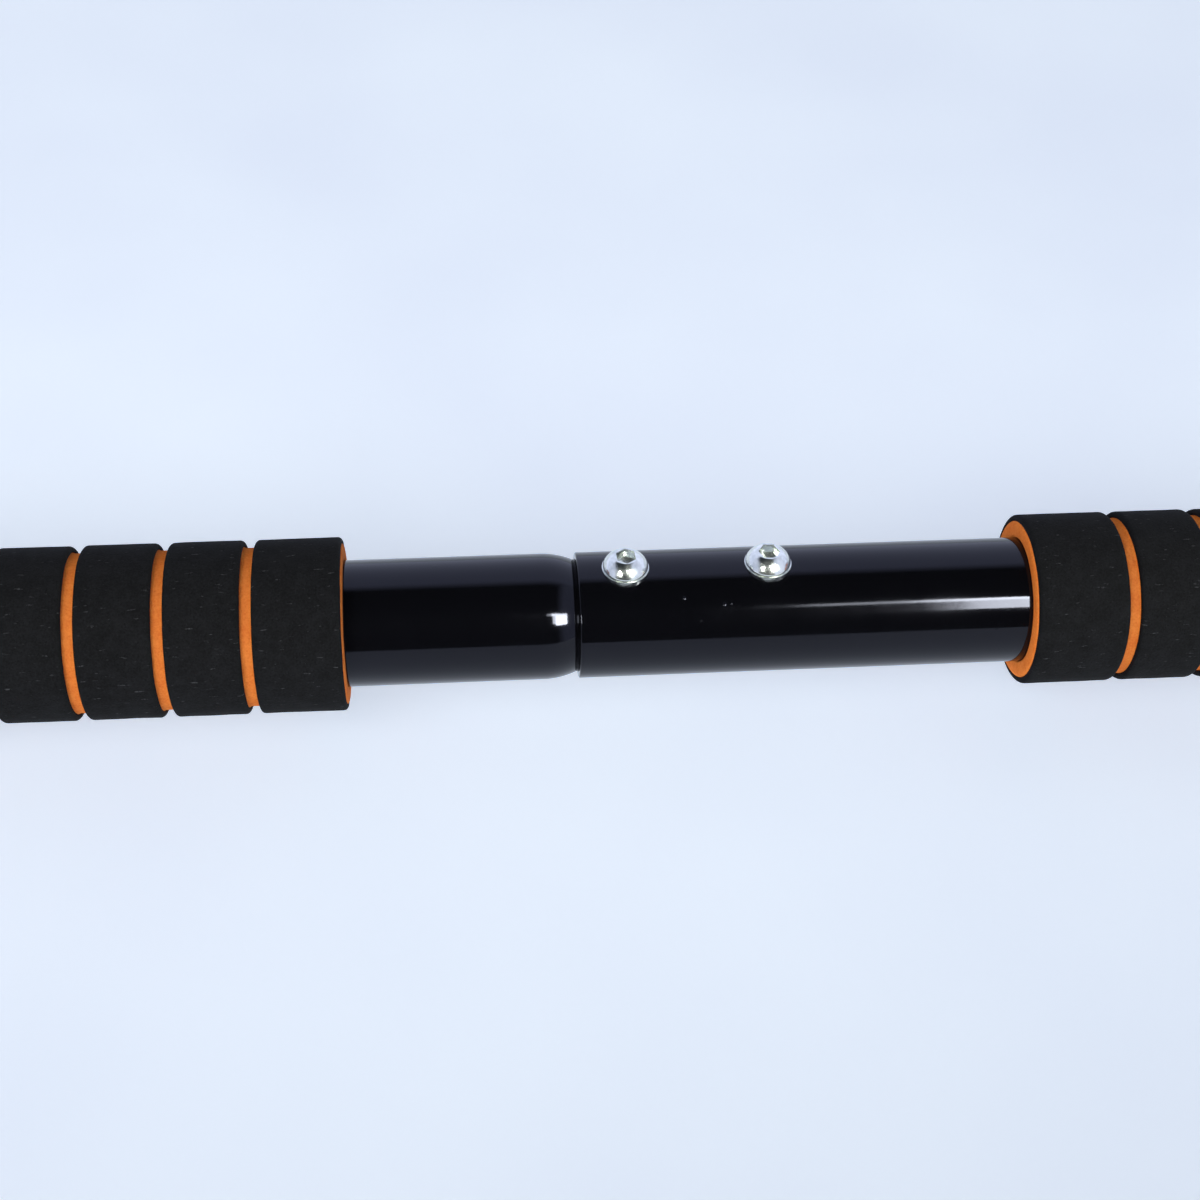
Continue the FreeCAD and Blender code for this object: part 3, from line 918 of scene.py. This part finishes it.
def studio_floor():
    """One floor in two sheets. The front one stays out of reflections, which keeps the paint dark there."""
    finish = lit_sheet()
    floor_sheet("floor_back", finish, FLOOR_SPLIT, FLOOR_REACH, True)
    floor_sheet("floor_front", finish, -FLOOR_REACH, FLOOR_SPLIT, False)


def soft_light(name, place, target, width, height, radiance, reflected, color):
    """A rectangular light of a given brightness, which shows only in reflections or never in them."""
    lamp = bpy.data.lights.new(name, "AREA")
    lamp.shape = "RECTANGLE"
    lamp.size = width
    lamp.size_y = height
    lamp.energy = radiance * 4 * math.pi * width * height
    lamp.color = color
    light = bpy.data.objects.new(name, lamp)
    bpy.context.scene.collection.objects.link(light)
    light.visible_camera = False
    light.visible_glossy = reflected
    light.visible_diffuse = not reflected
    aim(light, place, target)


def studio_world():
    """Even pale light for surfaces. Glossy parts see a dark ceiling and bright walls behind the bar and
    past its two ends, each given by the directions where it starts and where it is full."""
    world = bpy.data.worlds.new("studio")
    bpy.context.scene.world = world
    world.use_nodes = True
    tree = world.node_tree
    tree.nodes.clear()
    xyz = node(tree, "SeparateXYZ", {0: node(tree, "TexCoord").outputs["Generated"]})
    tilt = math_node(tree, "ARCTAN2", xyz.outputs[1], xyz.outputs[2])
    back_wall = remap(tree, tilt, math.radians(13), math.radians(25))
    right_wall = remap(tree, xyz.outputs[0], 0.34, 0.5, to_high=0.75)
    left_wall = remap(tree, xyz.outputs[0], -0.62, -0.82, to_high=0.7)
    wall = math_node(tree, "MAXIMUM", back_wall, math_node(tree, "MAXIMUM", right_wall, left_wall))
    ceiling, full_wall = rgb(0.018, 0.024, 0.031), rgb(0.90, 0.98, 1.3)
    reflected = blend(tree, wall, ceiling, full_wall)
    path = node(tree, "LightPath")
    fill, backdrop = rgb(0.22, 0.235, 0.26), rgb(0.72, 0.81, 0.96)
    seen = blend(tree, path.outputs["Is Camera Ray"], fill, backdrop)
    color = blend(tree, path.outputs["Is Glossy Ray"], seen, reflected)
    background = node(tree, "Background", {0: color, 1: 1.0})
    output = node(tree, "OutputWorld")
    tree.links.new(background.outputs[0], output.inputs[0])


KEY_AWAY = 1.2  # from the bar's axis
KEY_COLOR = (0.97, 1.0, 0.94)

# The boxes: (name, the x of each end, the angles of its top and its foot, radiance). The four on the
# right make the tube's long highlight, which fades out towards the bar's middle.
KEY_BOXES = (
    ("key_far_edge", 0.10, 0.23, 41, 45, 3.0),
    ("key_top", 0.23, 0.80, 41, 45, 13.0),
    ("key_edge", 0.27, 0.36, 45, 60, 8.0),
    ("key", 0.36, 0.80, 45, 63, 17.0),
    ("left_box", -0.78, -0.55, 46, 62, 12.0),
)

FRONT_PLACE = (-0.6, -1.1, 0.95)
FRONT_SIZE = (1.2, 0.9)
FRONT_RADIANCE = 1.12
FRONT_COLOR = (0.97, 0.985, 1.0)


def key_box(name, x0, x1, top_degrees, low_degrees, radiance):
    """A bright box in front of the bar that only glossy parts reflect, between two angles from +Z."""
    slope = math.radians((top_degrees + low_degrees) / 2)
    height = 2 * KEY_AWAY * math.tan(math.radians((low_degrees - top_degrees) / 2))
    y, z = -KEY_AWAY * math.sin(slope), KEY_AWAY * math.cos(slope)
    x = (x0 + x1) / 2
    soft_light(name, (x, y, z), (x, 0, 0), x1 - x0, height, radiance, True, KEY_COLOR)


def studio_lights():
    """A soft front light for the surfaces, and bright boxes for the highlights."""
    soft_light("front", FRONT_PLACE, (0, 0, 0), *FRONT_SIZE, FRONT_RADIANCE, False, FRONT_COLOR)
    for box in KEY_BOXES:
        key_box(*box)


# Fitted to the tube's edges and the joint screws
CAMERA_PLACE = (-0.0534, -0.3120, 0.3124)
CAMERA_TARGET = (-0.0210, 0.0040, 0.0006)
CAMERA_ROLL_DEGREES = 2.05
CAMERA_LENS = 58.38
CAMERA_SENSOR = 36


def camera():
    made = bpy.data.cameras.new("camera")
    made.lens = CAMERA_LENS
    made.sensor_width = CAMERA_SENSOR
    made.clip_start = 10 * MM
    eye = bpy.data.objects.new("camera", made)
    bpy.context.scene.collection.objects.link(eye)
    aim(eye, CAMERA_PLACE, CAMERA_TARGET, CAMERA_ROLL_DEGREES)
    bpy.context.scene.camera = eye


# ---- the whole bar ----

def build():
    paint, zinc, turned_finish = gloss_black_paint(), bright_zinc(), turned_zinc()
    black, orange = black_foam(), orange_foam()
    steel, nylon, rubber, white = satin_steel(), moulded_nylon(), moulded_rubber(), natural_nylon()
    right_tube(paint)
    left_tube(paint)
    for side, sign in SIDES.items():
        joint_screw(side, zinc)
        grip_core(side, sign, orange)
        grip_bands(side, sign, black)
        end_bush(side, sign, turned_finish)
        bush_rivets(side, steel)
        end_screw(side, sign, turned_finish)
        knob(side, sign, nylon)
        knob_pin(side, steel)
        thrust_washer(side, sign, white)
        foot_cup(side, sign, paint)
        foot_pad(side, sign, rubber)
        keep(side + "_head_washer", zinc)
        keep(side + "_weld_nut", zinc)
        keep(side + "_foot_washer", zinc)
        keep(side + "_foot_screw", zinc)


build()
studio_floor()
studio_world()
studio_lights()
camera()
bpy.context.scene.view_settings.view_transform = "Standard"
